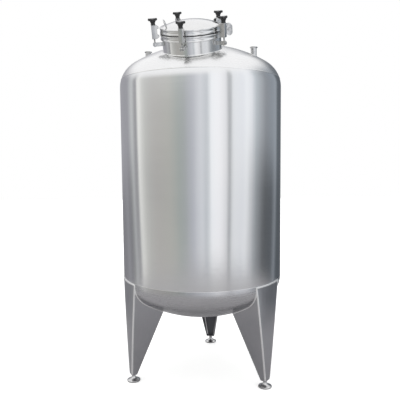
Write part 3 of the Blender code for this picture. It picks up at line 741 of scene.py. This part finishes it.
def beadAlong(name, routes, radius):           # one mesh of round beads along their routes
    curve = bpy.data.curves.new(name, "CURVE")
    curve.dimensions = "3D"
    curve.bevel_depth = radius
    curve.bevel_resolution = 2
    curve.use_fill_caps = True
    for route in routes:
        spline = curve.splines.new("POLY")
        spline.points.add(len(route) - 1)
        for point, place in zip(spline.points, route):
            point.co = (*place, 1)
    bead = bpy.data.objects.new(name, curve)
    bpy.context.collection.objects.link(bead)
    selectOnly(bead)
    bpy.ops.object.convert(target="MESH")
    return bpy.context.object


footShape = {"steps": 48, "radius": 0.045, "stem": 0.012, "top": 0.0505}


def makeFoot():                                # a turned bell on a plain stem
    size = footShape
    radius, stem, top = size["radius"], size["stem"], size["top"]
    outline = [(0, 0), (radius - 0.004, 0)]
    outline += arc((radius - 0.004, 0.004), 0.004, -70, 0, 4) + arc((radius - 0.003, 0.0075), 0.003, 0, 70, 4)
    outline += [(0.036, 0.0135), (0.030, 0.0155), (0.024, 0.0180), (0.0195, 0.0210), (0.0165, 0.0245)]
    outline += [(0.0143, 0.0285), (0.0130, 0.0320), (stem, 0.0350), (stem, top - 0.0005), (0, top - 0.0005)]
    return turnPiece("levellingFoot", outline, size["steps"])


makeLegs()
print("legs and feet made")


# Hinge and handle of the lid

hingeShape = {
    "pin": 0.005, "earThickness": 0.005, "earOffset": 0.009, "plateOffset": 0.0195,
    "plateRadius": 0.019, "plateHalfHeight": 0.034, "earEnd": 0.016,
    "height": 0.087,                           # of the pin above the dome
    "circle": 0.232,
    "rim": 0.0035, "panel": 0.0010,            # a raised rim round the plates' outer faces
}
handleShape = {"rod": 0.004, "span": 0.085, "lean": 0.012, "circle": 0.150, "top": 0.163, "corner": 0.014}


def lozenge(name, near, far, outwards):        # an upright plate with round ends and a sunk outer face
    size = hingeShape
    bpy.ops.object.select_all(action="DESELECT")
    bpy.ops.mesh.primitive_cylinder_add(vertices=48, radius=size["plateRadius"], depth=far - near,
                                        location=(0, (near + far) / 2, 0), rotation=(math.pi / 2, 0, 0))
    plate = bpy.context.object
    plate.name = name
    applyPlace(plate)
    stretch = size["plateHalfHeight"] - size["plateRadius"]
    for sign in (-1, 1):                       # its two halves are drawn apart
        openMesh(plate, "VERT")
        shape = bmesh.from_edit_mesh(plate.data)
        for vertex in shape.verts:
            vertex.select_set(sign * vertex.co.z > 0.0001)
        shape.select_flush_mode()
        bmesh.update_edit_mesh(plate.data)
        bpy.ops.transform.translate(value=(0, 0, sign * stretch))
        closeMesh()
    openMesh(plate)
    pickFaces(plate, lambda place, normal: normal.y * outwards > 0.9)
    bpy.ops.mesh.inset(thickness=size["rim"])
    bpy.ops.mesh.inset(thickness=0.0008)
    bpy.ops.transform.translate(value=(0, -outwards * size["panel"], 0))
    closeMesh()
    return plate


def makeHinge():
    size = hingeShape
    rim = manwayShape["collarRadius"] + 0.0003 - size["circle"]
    far = size["earOffset"] + size["earThickness"]
    lowEar = manwayShape["collarBottom"] + 0.004 - size["height"]
    highEar = manwayShape["collarTop"] - 0.006 - size["height"]
    end = size["earEnd"]
    ear = [(rim + 0.001, lowEar), (0, -end), (end * 0.7, -end * 0.7), (end, 0), (end * 0.7, end * 0.7), (0, end),
           (-end * 0.8, end * 0.5), (rim + 0.001, highEar)]
    pieces = [cutPlate("ear", ear, size["earOffset"], far), cutPlate("ear", ear, -far, -size["earOffset"])]
    pieces.append(cutPlate("pad", [(rim, lowEar - 0.001), (rim + 0.006, lowEar - 0.001), (rim + 0.006, highEar + 0.001),
                                   (rim, highEar + 0.001)], -far - 0.001, far + 0.001))
    for piece in pieces:
        softenEdges(piece, 0.0010, 2)
    reach = size["plateOffset"] + size["earThickness"] + 0.006
    pin = crossPin("pin", size["pin"], reach, (0, 0))
    softenEdges(pin, 0.0010, 2)
    heads = []
    for sign in (-1, 1):                       # washers outside the plates
        washer = crossPin("washer", 0.010, 0.0012, (0, 0), 32)
        washer.location.y = sign * (reach - 0.0038)
        applyPlace(washer)
        softenEdges(washer, 0.0004, 1)
        heads.append(washer)
    bracket = joinPieces("hingeBracket", [*pieces, pin, *heads])
    settle(bracket, hingePlace, "tank", fittingSteel, ["hinge_bracket"])
    low = manwayShape["collarTop"] + 0.0056 + 0.004 - size["height"]
    high = low + manwayShape["lidHeight"] - 0.010
    outside = size["plateOffset"] + size["earThickness"]
    bridge = cutPlate("bridge", [(rim, low), (rim + 0.008, low), (rim + 0.008, high), (rim, high)], -outside, outside)
    softenEdges(bridge, 0.0012, 2)
    arms = [bridge]
    for near, away in ((size["plateOffset"], outside), (-outside, -size["plateOffset"])):
        plate = lozenge("plate", near, away, math.copysign(1, near))
        hole = crossPin("hole", size["pin"] + 0.0006, 0.1, (0, 0))
        cutWith(plate, hole)
        softenEdges(plate, 0.0012, 2, 50)
        web = cutPlate("web", [(rim + 0.001, low + 0.001), (-0.010, low + 0.001), (-0.010, high - 0.001),
                               (rim + 0.001, high - 0.001)], near + 0.0005, away - 0.0005)
        arms += [plate, web]
    arm = joinPieces("lidHingeArm", arms)
    settle(arm, hingePlace, "lid", fittingSteel, ["lid_hinge_arm"])


def makeHandle():                              # a rod bent twice, standing on the edge of the dome
    size = handleShape
    ball = (manwayShape["domeRadius"] ** 2 + manwayShape["domeRise"] ** 2) / (2 * manwayShape["domeRise"])
    rimTop = manwayShape["collarTop"] + 0.0056 + manwayShape["lidHeight"]
    reach = math.hypot(size["circle"], size["span"] / 2)
    foot = rimTop + manwayShape["domeRise"] - ball + math.sqrt(ball ** 2 - reach ** 2) - 0.001
    rise = size["top"] - foot
    bpy.ops.object.select_all(action="DESELECT")
    bpy.ops.mesh.primitive_circle_add(vertices=16, radius=size["rod"], fill_type="NGON",
                                      location=(0, -size["span"] / 2, 0))
    handle = bpy.context.object
    handle.name = "lidHandle"
    applyPlace(handle)
    bpy.ops.object.mode_set(mode="EDIT")
    bpy.ops.mesh.select_all(action="SELECT")
    corner = size["corner"]
    bpy.ops.mesh.extrude_region_move(TRANSFORM_OT_translate={"value": (0, 0, rise - corner)})
    bpy.ops.mesh.spin(steps=8, angle=math.pi / 2, center=(0, corner - size["span"] / 2, rise - corner), axis=(1, 0, 0))
    bpy.ops.mesh.extrude_region_move(TRANSFORM_OT_translate={"value": (0, size["span"] - 2 * corner, 0)})
    bpy.ops.mesh.spin(steps=8, angle=math.pi / 2, center=(0, size["span"] / 2 - corner, rise - corner), axis=(1, 0, 0))
    bpy.ops.mesh.extrude_region_move(TRANSFORM_OT_translate={"value": (0, 0, corner - rise)})
    bpy.ops.mesh.select_all(action="SELECT")
    bpy.ops.mesh.remove_doubles(threshold=0.00002)
    bpy.ops.mesh.normals_make_consistent(inside=False)
    shape = bmesh.from_edit_mesh(handle.data)
    for vertex in shape.verts:                 # it leans outwards
        vertex.co.x += size["lean"] * vertex.co.z / rise
    bmesh.update_edit_mesh(handle.data)
    closeMesh()
    azimuth = Vector(hingePlace.to_3x3().col[0])
    outwards = -azimuth
    middle = manwayMiddle + outwards * size["circle"] + out * foot
    settle(handle, frameOf(outwards, out, middle), "lid", fittingSteel, ["lid_handle"])


makeHinge()
makeHandle()
print("hinge and handle made")


# The five swing clamps, modelled once in their own frame and copied round the neck

clampShape = {
    "circle": 0.2275, "pin": 0.004, "eye": 0.0115, "eyeWidth": 0.008, "bolt": 0.005, "boltTop": 0.142,
    "thread": 0.0015, "lugThickness": 0.004, "lugHalfHeight": 0.011,
    "width": 0.027, "sheet": 0.003, "inner": -0.031, "outer": 0.013, "shoulder": -0.017,
    "low": 0.034, "high": 0.113, "fold": 0.004, "washer": 0.0125, "washerThickness": 0.0015,
}
knobShape = {
    "low": 0.1148, "hub": 0.0143, "flare": 0.0205, "starLow": 0.136, "high": 0.1525, "reach": 0.031, "bar": 0.0165,
}


def makeLug():
    size = clampShape
    root = manwayShape["neckRadius"] + 0.0003 - size["circle"]
    near = size["eyeWidth"] / 2 + 0.001
    far = near + size["lugThickness"]
    tall = size["lugHalfHeight"]
    ear = [(root + 0.001, 0.001 - tall), (-0.006, -tall), *arc((0, 0), tall, -90, 90, 8), (-0.006, tall),
           (root + 0.001, tall - 0.001)]
    pad = [(root, -tall), (root + 0.005, -tall), (root + 0.005, tall), (root, tall)]
    plates = [cutPlate("ear", ear, near, far), cutPlate("ear", ear, -far, -near), cutPlate("pad", pad, -far - 0.001, far + 0.001)]
    for plate in plates:
        softenEdges(plate, 0.0009, 2)
    pin = crossPin("pin", size["pin"], far + 0.0038, (0, 0), 20)
    nutAt = far + 0.0028
    nut = crossPin("nut", 0.0095, 0.0024, (0, 0), 6)
    nut.location.y = nutAt
    applyPlace(nut)
    head = crossPin("head", 0.0090, 0.0018, (0, 0), 20)
    head.location.y = -nutAt
    applyPlace(head)
    for piece in (nut, head):
        softenEdges(piece, 0.0006, 2)
    washer = crossPin("washer", 0.0130, far + 0.0008, (0, 0), 32)
    cutWith(washer, crossPin("gap", 0.02, far, (0, 0), 32))
    return joinPieces("lug", [*plates, pin, nut, head, washer])


def makeSwingBolt():
    size = clampShape
    outline = [(0, 0.004), (size["bolt"] - 0.0006, 0.004), (size["bolt"] - 0.0006, 0.018)]
    ridges = int((size["high"] - 0.020) / size["thread"])
    for ridge in range(ridges):                # the thread, drawn as plain ridges
        height = 0.018 + size["thread"] * ridge
        outline += [(size["bolt"], height + size["thread"] * 0.4), (size["bolt"] - 0.0007, height + size["thread"] * 0.9)]
    outline += [(size["bolt"] - 0.0006, size["boltTop"] - 0.001), (size["bolt"] - 0.0014, size["boltTop"]), (0, size["boltTop"])]
    rod = turnPiece("rod", outline, 20)
    eye = crossPin("eye", size["eye"], size["eyeWidth"] / 2, (0, 0), 36)
    hole = crossPin("hole", size["pin"] + 0.0006, 0.05, (0, 0), 24)
    cutWith(eye, hole)
    softenEdges(eye, 0.0012, 2, 50)
    return joinPieces("swingBolt", [eye, rod])


def makeClaw():                                # a channel over the bolt, its jaws towards the lid
    size = clampShape
    half = size["width"] / 2
    low, high, shoulder, outer, inner = size["low"], size["high"], size["shoulder"], size["outer"], size["inner"]
    side = [(shoulder, low), (outer, low), (outer, high - 0.001), (outer - 0.001, high), (shoulder, high),
            (inner, high - 0.010), (inner, high - 0.019), (shoulder - 0.004, high - 0.022),
            (shoulder - 0.004, low + 0.022), (inner, low + 0.019), (inner, low + 0.010)]
    claw = cutPlate("claw", side, -half, half)
    openMesh(claw)
    pickEdges(claw, lambda a, b: a.x > outer - 0.0001 and b.x > outer - 0.0001 and abs(a.z - b.z) > 0.01)
    bpy.ops.mesh.bevel(offset=size["fold"], segments=4, affect="EDGES")
    closeMesh()
    bpy.ops.object.select_all(action="DESELECT")
    bpy.ops.mesh.primitive_cube_add(size=1, location=((outer - size["sheet"] + inner - 0.01) / 2, 0, (low + high) / 2 - 0.006),
                                    scale=(outer - size["sheet"] - inner + 0.01, 2 * (half - size["sheet"]), high - low + 0.004))
    inside = bpy.context.object
    applyPlace(inside)
    cutWith(claw, inside)
    cutWith(claw, rodBetween("hole", size["bolt"] + 0.0006, high - 0.02, high + 0.02))
    softenEdges(claw, 0.0007, 2, 50)
    washer = rodBetween("washer", size["washer"], high - 0.0004, high + size["washerThickness"], 32)
    cutWith(washer, rodBetween("hole", size["bolt"] + 0.0006, high - 0.02, high + 0.02))
    softenEdges(washer, 0.0005, 2, 50)
    return joinPieces("claw", [claw, washer])


def makeKnob():                                # a hub that flares into a three-lobed grip
    size = knobShape
    low, star, high, hub, flare = size["low"], size["starLow"], size["high"], size["hub"], size["flare"]
    outline = [(0, low), (hub - 0.0012, low), (hub, low + 0.0012), (hub, low + 0.0035), (hub - 0.0012, low + 0.0047)]
    outline += [(hub - 0.0014, low + 0.009), (hub - 0.0004, star - 0.008), (hub + 0.0024, star - 0.003)]
    outline += [(flare - 0.0032, star + 0.0005), (flare, star + 0.0045), (flare - 0.006, star + 0.007), (0, star + 0.007)]
    body = turnPiece("hub", outline, 36)
    softenEdges(body, 0.0004, 1, 30)
    bpy.ops.object.select_all(action="DESELECT")
    bpy.ops.mesh.primitive_cylinder_add(vertices=9, radius=size["bar"], depth=high - star,
                                        location=(0, 0, (star + high) / 2), rotation=(0, 0, math.radians(10)))
    grip = bpy.context.object
    grip.name = "grip"
    applyPlace(grip)
    openMesh(grip)
    middle = (star + high) / 2
    for lobe in [math.radians(angle) for angle in (0, 120, 240)]:
        pickFaces(grip, lambda place, normal: abs(normal.z) < 0.5 and abs(
            math.remainder(math.atan2(place.y, place.x) - lobe, 2 * math.pi)) < 0.1)
        outwards = Vector((math.cos(lobe), math.sin(lobe), 0))
        for reach, rise, broad, thick in ((0.006, 0.0002, 1.15, 0.88), (0.009, 0.0005, 1.25, 1.12)):
            bpy.ops.mesh.extrude_region_move(TRANSFORM_OT_translate={"value": outwards * reach + Vector((0, 0, rise))})
            bpy.ops.transform.resize(value=(broad, broad, thick))
    pickFaces(grip, lambda place, normal: normal.z > 0.9 and math.hypot(place.x, place.y) < 0.004)
    bpy.ops.mesh.inset(thickness=0.0055)
    bpy.ops.transform.translate(value=(0, 0, -0.0016))
    closeMesh()
    useModifier(grip, "SUBSURF", levels=3, render_levels=3)
    # the smoothing draws the star in, so it is drawn out again to its real reach and height
    places = [vertex.co for vertex in grip.data.vertices]
    reach = max(math.hypot(place.x, place.y) for place in places)
    lowest, highest = min(place.z for place in places), max(place.z for place in places)
    openMesh(grip)
    bpy.ops.mesh.select_all(action="SELECT")
    bpy.ops.transform.translate(value=(0, 0, high - highest))
    tall = (high - star) / (highest - lowest)
    wide = size["reach"] / reach
    bpy.ops.transform.resize(value=(wide, wide, tall), center_override=(0, 0, high))
    closeMesh()
    return joinPieces("knob", [grip, body])


def makeClamps():
    lug, bolt, claw, knob = makeLug(), makeSwingBolt(), makeClaw(), makeKnob()
    for number, side in enumerate(sides):
        place = clampPlaces[side]
        # a knob stops where it is tight, most of them with a lobe near the front
        lean = Matrix.Rotation(math.radians(86 - 72 * number + (7, -6, 10, -9, 4)[number]), 4, "Z")
        plain = side.replace("_r", "R").replace("_l", "L")
        settle(copyPiece(lug, f"{plain}Lug"), place, "tank", fittingSteel, [f"{side}_lug"])
        settle(copyPiece(bolt, f"{plain}SwingBolt"), place, f"{side}_clamp", fittingSteel, [f"{side}_swing_bolt"])
        settle(copyPiece(claw, f"{plain}Claw"), place, f"{side}_clamp", fittingSteel, [f"{side}_claw"])
        settle(copyPiece(knob, f"{plain}Knob"), place @ lean, f"{side}_knob", knobPhenolic, [f"{side}_knob"],
               45)
    for piece in (lug, bolt, claw, knob):
        bpy.data.objects.remove(piece)


makeClamps()
print("clamps made")


# Studio: pale floor, soft light all round, and the camera where the photographer stood

studio = {
    "floor": "#F4F4F2", "floorSize": 30.0, "floorGlow": 0.55,
    "workshop": "#BEBCBD", "workshopRadius": 2.0, "workshopFade": 0.6,
    "overhead": "#F6F6F8", "overheadStrength": 1.28,
    "strength": 1.45,
    # soft boxes and flags round the tank: azimuth in degrees from the front, towards the right, and grey
    "bands": [(-180, "#8C8C92"), (-124, "#94949A"), (-112, "#BABCBE"), (-104, "#8E8E92"),
              (-101, "#909094"), (-97, "#E6E6E4"), (-88, "#C2C2C0"), (-79, "#B2B2B0"), (-66, "#ACAAA8"),
              (-44, "#A8A8A4"), (-30, "#999F9D"), (-22, "#9B9FA1"), (-12, "#ACAEB6"),
              (0, "#CACCD2"), (8, "#B8BCC2"), (14, "#E8EAEE"), (24, "#ECECF0"), (35, "#DCDCE0"),
              (39, "#A2A4A8"), (41.5, "#A8AAAE"), (44.5, "#DEE0E4"), (60, "#DEE0E6"), (67, "#E8EAEE"),
              (75, "#DCDEE4"), (82, "#B6BCC2"), (92, "#A2A6AC"), (103, "#888C92"), (117, "#868C94"),
              (131, "#8E949C"), (137, "#5C6268"), (152, "#54585E"), (180, "#74787E")],
    # how far dark machines beside the tank dim the light below eye level
    "lower": [(-180, 0.70), (-148, 0.60), (-132, 0.80), (-124, 0.60), (-117, 0.50), (-110, 0.85), (-60, 0.92),
              (-20, 1.0), (30, 0.94), (66, 0.86), (74, 0.64), (82, 0.56), (90, 0.46), (100, 0.34), (120, 0.34),
              (130, 0.70), (180, 0.80)],
}


def makeStudio():
    size = studio
    bpy.ops.object.select_all(action="DESELECT")
    bpy.ops.mesh.primitive_plane_add(size=size["floorSize"], location=(0, 0, -0.0002))
    floor = bpy.context.object
    floor.name = "paleFloor"
    material, tree, shader = newFinish("painted pale floor")
    shader.inputs["Base Color"].default_value = linearColour(size["floor"])
    shader.inputs["Roughness"].default_value = 0.9
    shader.inputs["Emission Color"].default_value = linearColour(size["floor"])
    shader.inputs["Emission Strength"].default_value = size["floorGlow"]
    floor.data.materials.append(material)
    floor.visible_glossy = False               # the steel mirrors a darker workshop floor instead
    bpy.ops.mesh.primitive_circle_add(vertices=64, radius=size["workshopRadius"], fill_type="NGON",
                                      location=(vessel.translation.x, vessel.translation.y, -0.0001))
    mirrored = bpy.context.object
    mirrored.name = "mirroredFloor"
    applyPlace(mirrored)
    material, tree, shader = newFinish("grey workshop floor")
    shader.inputs["Base Color"].default_value = linearColour(size["workshop"])
    shader.inputs["Roughness"].default_value = 0.9
    where = addNode(tree, "ShaderNodeTexCoord").outputs["Object"]
    away = addNode(tree, "ShaderNodeVectorMath", {"operation": "LENGTH"}, {0: where}).outputs["Value"]
    fade = addNode(tree, "ShaderNodeMapRange", {"interpolation_type": "SMOOTHSTEP"},
                   {0: away, 1: size["workshopRadius"] - size["workshopFade"], 2: size["workshopRadius"], 3: 1.0, 4: 0.0})
    tree.links.new(fade.outputs[0], shader.inputs["Alpha"])
    mirrored.data.materials.append(material)
    mirrored.visible_camera = False
    mirrored.visible_diffuse = False
    mirrored.visible_shadow = False
    world = bpy.data.worlds.new("soft studio")
    bpy.context.scene.world = world
    world.use_nodes = True
    tree = world.node_tree
    direction = addNode(tree, "ShaderNodeTexCoord").outputs["Generated"]
    parts = addNode(tree, "ShaderNodeSeparateXYZ", None, {0: direction}).outputs
    towards = addNode(tree, "ShaderNodeMath", {"operation": "MULTIPLY"}, {0: parts[1], 1: -1.0}).outputs[0]
    azimuth = addNode(tree, "ShaderNodeMath", {"operation": "ARCTAN2"}, {0: parts[0], 1: towards}).outputs[0]
    share = addNode(tree, "ShaderNodeMapRange", None, {0: azimuth, 1: -math.pi, 2: math.pi, 3: 0.0, 4: 1.0}).outputs[0]
    ramps = []
    for stopsWanted in (size["bands"], size["lower"]):
        ramp = addNode(tree, "ShaderNodeValToRGB", None, {0: share})
        stops = ramp.color_ramp.elements
        while len(stops) < len(stopsWanted):
            stops.new(0.5)
        for stop, (angle, shade) in zip(stops, stopsWanted):
            stop.position = (angle + 180) / 360
            stop.color = linearColour(shade) if isinstance(shade, str) else (shade, shade, shade, 1)
        ramps.append(ramp.outputs[0])
    low = addNode(tree, "ShaderNodeMapRange", {"interpolation_type": "SMOOTHSTEP"},
                  {0: parts[2], 1: 0.0, 2: -0.17, 3: 0.0, 4: 1.0}).outputs[0]
    dimmed = addNode(tree, "ShaderNodeMix", {"data_type": "RGBA", "blend_type": "MULTIPLY"},
                     {0: low, 6: ramps[0], 7: ramps[1]}).outputs[2]
    # the ceiling comes lower at the left and the front
    lean = addNode(tree, "ShaderNodeVectorMath", {"operation": "DOT_PRODUCT"},
                   {0: direction, 1: (-0.14, -0.10, 1.0)}).outputs["Value"]
    up = addNode(tree, "ShaderNodeMapRange", {"interpolation_type": "SMOOTHSTEP"},
                 {0: lean, 1: 0.28, 2: 0.60, 3: 0.0, 4: 1.0}).outputs[0]
    over = [c * size["overheadStrength"] / size["strength"] for c in linearColour(size["overhead"])[:3]] + [1]
    room = addNode(tree, "ShaderNodeMix", {"data_type": "RGBA"}, {0: up, 6: dimmed, 7: over}).outputs[2]
    roomLight = addNode(tree, "ShaderNodeBackground", None, {0: room, 1: size["strength"]}).outputs[0]
    backdrop = addNode(tree, "ShaderNodeBackground", None, {0: (1, 1, 1, 1), 1: 1.0}).outputs[0]
    seen = addNode(tree, "ShaderNodeLightPath").outputs["Is Camera Ray"]
    mixed = addNode(tree, "ShaderNodeMixShader", None, {0: seen, 1: roomLight, 2: backdrop}).outputs[0]
    tree.links.new(mixed, tree.nodes["World Output"].inputs["Surface"])
    bpy.context.scene.view_settings.view_transform = "Standard"


cameraShape = {
    "distance": 3.4627,                        # metres in front of the vessel's axis
    "height": 1.5124, "pitchDown": 0.08417, "roll": -0.00908,
    "lens": 44.33, "shiftX": -0.0037,
}


def makeCamera():
    size = cameraShape
    pitch, roll = size["pitchDown"], size["roll"]
    forward = Vector((0, math.cos(pitch), -math.sin(pitch)))
    right = Vector((1, 0, 0))
    up = right.cross(forward)
    rolledRight = math.cos(roll) * right + math.sin(roll) * up
    rolledUp = math.cos(roll) * up - math.sin(roll) * right
    place = Matrix((rolledRight, rolledUp, -forward)).transposed().to_4x4()
    place.translation = (vessel.translation.x, vessel.translation.y - size["distance"], size["height"])
    bpy.ops.object.camera_add()
    camera = bpy.context.object
    camera.name = "photoCamera"
    camera.matrix_world = place
    camera.data.lens = size["lens"]
    camera.data.shift_x = size["shiftX"]
    bpy.context.scene.camera = camera


makeStudio()
makeCamera()
print("studio and camera ready")
